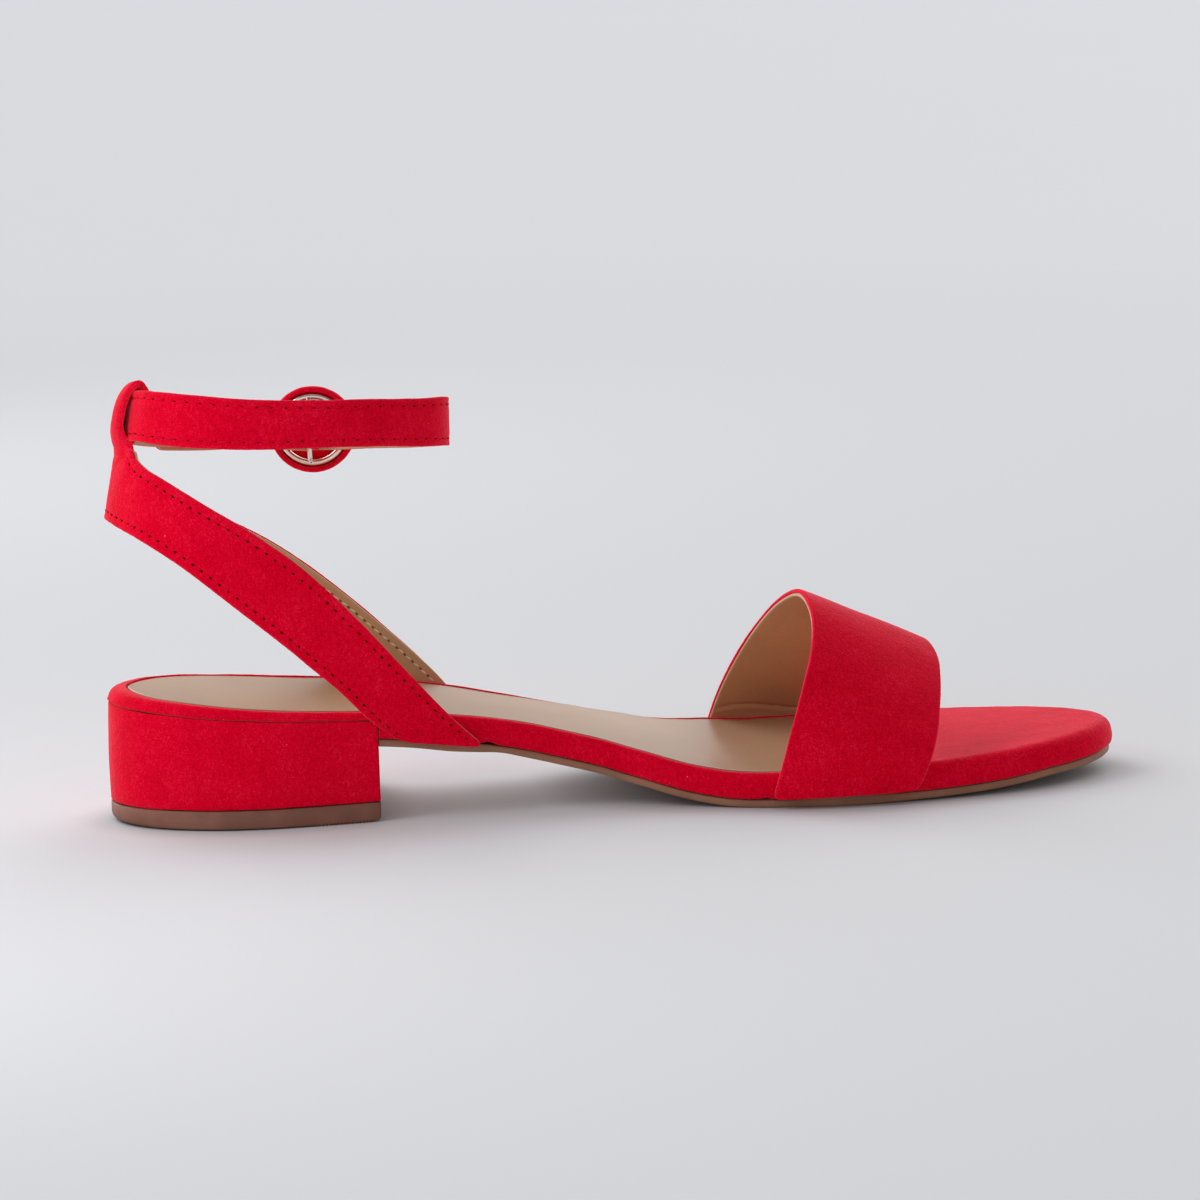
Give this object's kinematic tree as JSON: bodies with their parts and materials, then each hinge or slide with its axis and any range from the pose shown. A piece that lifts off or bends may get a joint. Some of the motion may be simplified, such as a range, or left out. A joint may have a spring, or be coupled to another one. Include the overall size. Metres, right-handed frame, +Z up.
{
  "type": "dress sandal",
  "caption": "Left dress sandal: low covered block heel, broad vamp band, sling round the heel and a buckled ankle strap through its loop.",
  "frame": {"origin": "on the floor, under the middle of the shoe's bounding box", "axes": "+X towards the toe, +Y towards the outer side of the foot, +Z up from the floor"},
  "size_m": [0.25, 0.0898, 0.1097],
  "materials": {
    "red_suede": "fine matt nap",
    "tan_lining": "smooth, soft sheen",
    "brown_rubber": "satin",
    "nickel": "polished"
  },
  "bodies": {
    "root": {"outsole": "brown_rubber", "midsole": "red_suede", "insole": "tan_lining", "heel_block": "red_suede", "heel_lift": "brown_rubber", "vamp_band": "red_suede", "heel_sling": "red_suede", "ankle_strap": "red_suede", "buckle_cover": "red_suede", "buckle_frame": "nickel", "buckle_prong": "nickel"}
  },
  "joints": []
}
